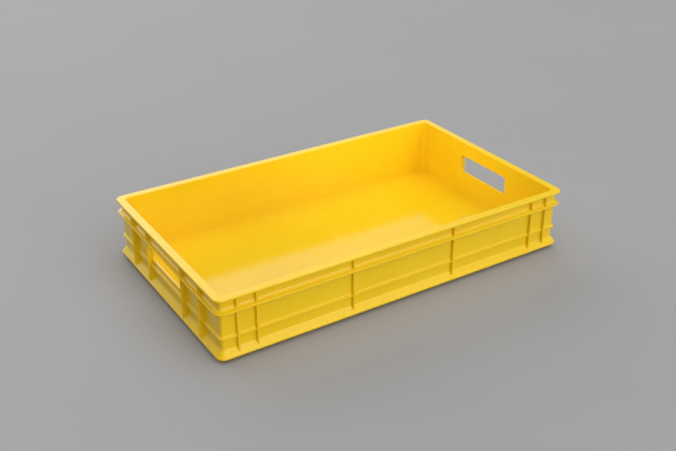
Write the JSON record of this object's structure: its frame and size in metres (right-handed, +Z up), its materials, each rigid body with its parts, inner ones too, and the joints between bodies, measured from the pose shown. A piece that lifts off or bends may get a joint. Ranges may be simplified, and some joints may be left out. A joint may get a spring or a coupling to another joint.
{
  "type": "milk bottle crate",
  "caption": "Shallow open stacking crate with a smooth floor, solid ribbed walls, a flat rim and a hand hole in each end wall.",
  "frame": {"origin": "under the middle of the crate, on the surface that it stands on", "axes": "+X along the long side, +Y across the crate, +Z up"},
  "size_m": [0.6, 0.354, 0.1],
  "materials": {
    "yellow_polyethylene": "semi-gloss moulded polyethylene with a fine mould grain"
  },
  "bodies": {
    "root": {"base_flange_back": "yellow_polyethylene", "base_flange_front": "yellow_polyethylene", "base_flange_left": "yellow_polyethylene", "base_flange_right": "yellow_polyethylene", "base_ribs_crosswise": "yellow_polyethylene", "base_ribs_lengthwise": "yellow_polyethylene", "corner_post_back_left": "yellow_polyethylene", "corner_post_back_right": "yellow_polyethylene", "corner_post_front_left": "yellow_polyethylene", "corner_post_front_right": "yellow_polyethylene", "end_panel_back_left": "yellow_polyethylene", "end_panel_back_right": "yellow_polyethylene", "end_panel_front_left": "yellow_polyethylene", "end_panel_front_right": "yellow_polyethylene", "end_sill_left": "yellow_polyethylene", "end_sill_right": "yellow_polyethylene", "fin_back_1": "yellow_polyethylene", "fin_back_2": "yellow_polyethylene", "fin_back_3": "yellow_polyethylene", "fin_back_4": "yellow_polyethylene", "fin_back_5": "yellow_polyethylene", "fin_back_6": "yellow_polyethylene", "fin_front_1": "yellow_polyethylene", "fin_front_2": "yellow_polyethylene", "fin_front_3": "yellow_polyethylene", "fin_front_4": "yellow_polyethylene", "fin_front_5": "yellow_polyethylene", "fin_front_6": "yellow_polyethylene", "fin_left_1": "yellow_polyethylene", "fin_left_2": "yellow_polyethylene", "fin_left_3": "yellow_polyethylene", "fin_left_4": "yellow_polyethylene", "fin_right_1": "yellow_polyethylene", "fin_right_2": "yellow_polyethylene", "fin_right_3": "yellow_polyethylene", "fin_right_4": "yellow_polyethylene", "floor_panel": "yellow_polyethylene", "hand_grip_left": "yellow_polyethylene", "hand_grip_right": "yellow_polyethylene", "hand_hole_border_left": "yellow_polyethylene", "hand_hole_border_right": "yellow_polyethylene", "long_wall_back": "yellow_polyethylene", "long_wall_front": "yellow_polyethylene", "lower_rib_back": "yellow_polyethylene", "lower_rib_front": "yellow_polyethylene", "lower_rib_left": "yellow_polyethylene", "lower_rib_right": "yellow_polyethylene", "rim_back": "yellow_polyethylene", "rim_front": "yellow_polyethylene", "rim_left": "yellow_polyethylene", "rim_right": "yellow_polyethylene", "stacking_foot_back": "yellow_polyethylene", "stacking_foot_front": "yellow_polyethylene", "stacking_foot_left": "yellow_polyethylene", "stacking_foot_right": "yellow_polyethylene", "upper_rib_back": "yellow_polyethylene", "upper_rib_front": "yellow_polyethylene", "upper_rib_left": "yellow_polyethylene", "upper_rib_right": "yellow_polyethylene"}
  },
  "joints": []
}
